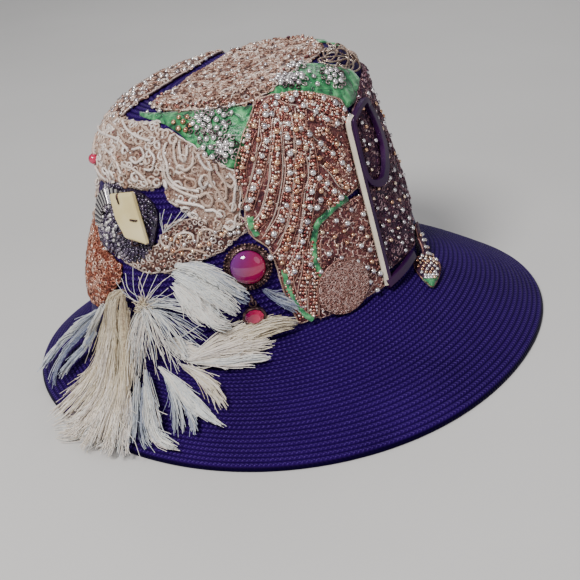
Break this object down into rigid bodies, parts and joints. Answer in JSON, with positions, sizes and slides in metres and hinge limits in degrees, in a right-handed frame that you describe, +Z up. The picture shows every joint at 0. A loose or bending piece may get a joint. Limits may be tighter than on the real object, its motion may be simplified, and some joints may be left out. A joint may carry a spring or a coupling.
{
  "type": "trimmed straw hat",
  "caption": "Dark straw dress hat: a tall rounded crown quilted with beaded, corded and satin patches, brooch, cabochon, metal strip and feathers, over a wide uneven sloping brim.",
  "frame": {"origin": "middle of the brim's outline, on the plane that the brim's edge lies in", "axes": "+Z up through the crown, -Y towards the display side with the feathers and the cabochon, +X towards the side where the brim is widest"},
  "size_m": [0.2952, 0.286, 0.1632],
  "materials": {
    "navy_straw": "sewn paper-straw braid, low sheen",
    "bead_embroidery": "copper-brown ground crowded with silver and gold beads",
    "gold_coil": "coiled metal thread embroidery, satin metallic",
    "green_satin": "satin, crinkled",
    "cream_brocade": "cream and pale gold corded brocade",
    "copper_coil": "copper coil thread, satin metallic",
    "pale_gold_wire": "bent wire",
    "strip_metal": "polished warm steel",
    "dark_beads": "dark glossy beads and silver-lined bugles",
    "yellow_stone": "pale yellow opaque stone",
    "magenta_stone": "glossy cabochon",
    "antique_metal": "darkened metal",
    "red_stone": "faceted",
    "feather": "cream and white feathers"
  },
  "bodies": {
    "root": {"straw_crown": "navy_straw", "straw_brim": "navy_straw", "front_patch": "bead_embroidery", "leaf_patch": "bead_embroidery", "right_patch": "bead_embroidery", "back_leaf": "bead_embroidery", "flap_patch": "bead_embroidery", "green_satin_right": "green_satin", "green_satin_left": "green_satin", "back_satin": "green_satin", "brocade_swirl": "cream_brocade", "brocade_fine": "cream_brocade", "back_brocade": "cream_brocade", "copper_patch": "copper_coil", "scallop_patch": "gold_coil", "shoulder_patch": "gold_coil", "back_gold": "gold_coil", "top_patch": "gold_coil", "coiled_disc": "gold_coil", "wirework": "pale_gold_wire", "strip_ornament": "strip_metal", "brooch_frame": "dark_beads", "brooch_stone": "yellow_stone", "cabochon_rim": "antique_metal", "cabochon_stone": "magenta_stone", "drop_link": "antique_metal", "drop_cup": "antique_metal", "drop_stone": "red_stone", "red_bead": "red_stone", "feather_tuft_lower": "feather", "feather_tuft_upper": "feather"}
  },
  "joints": []
}
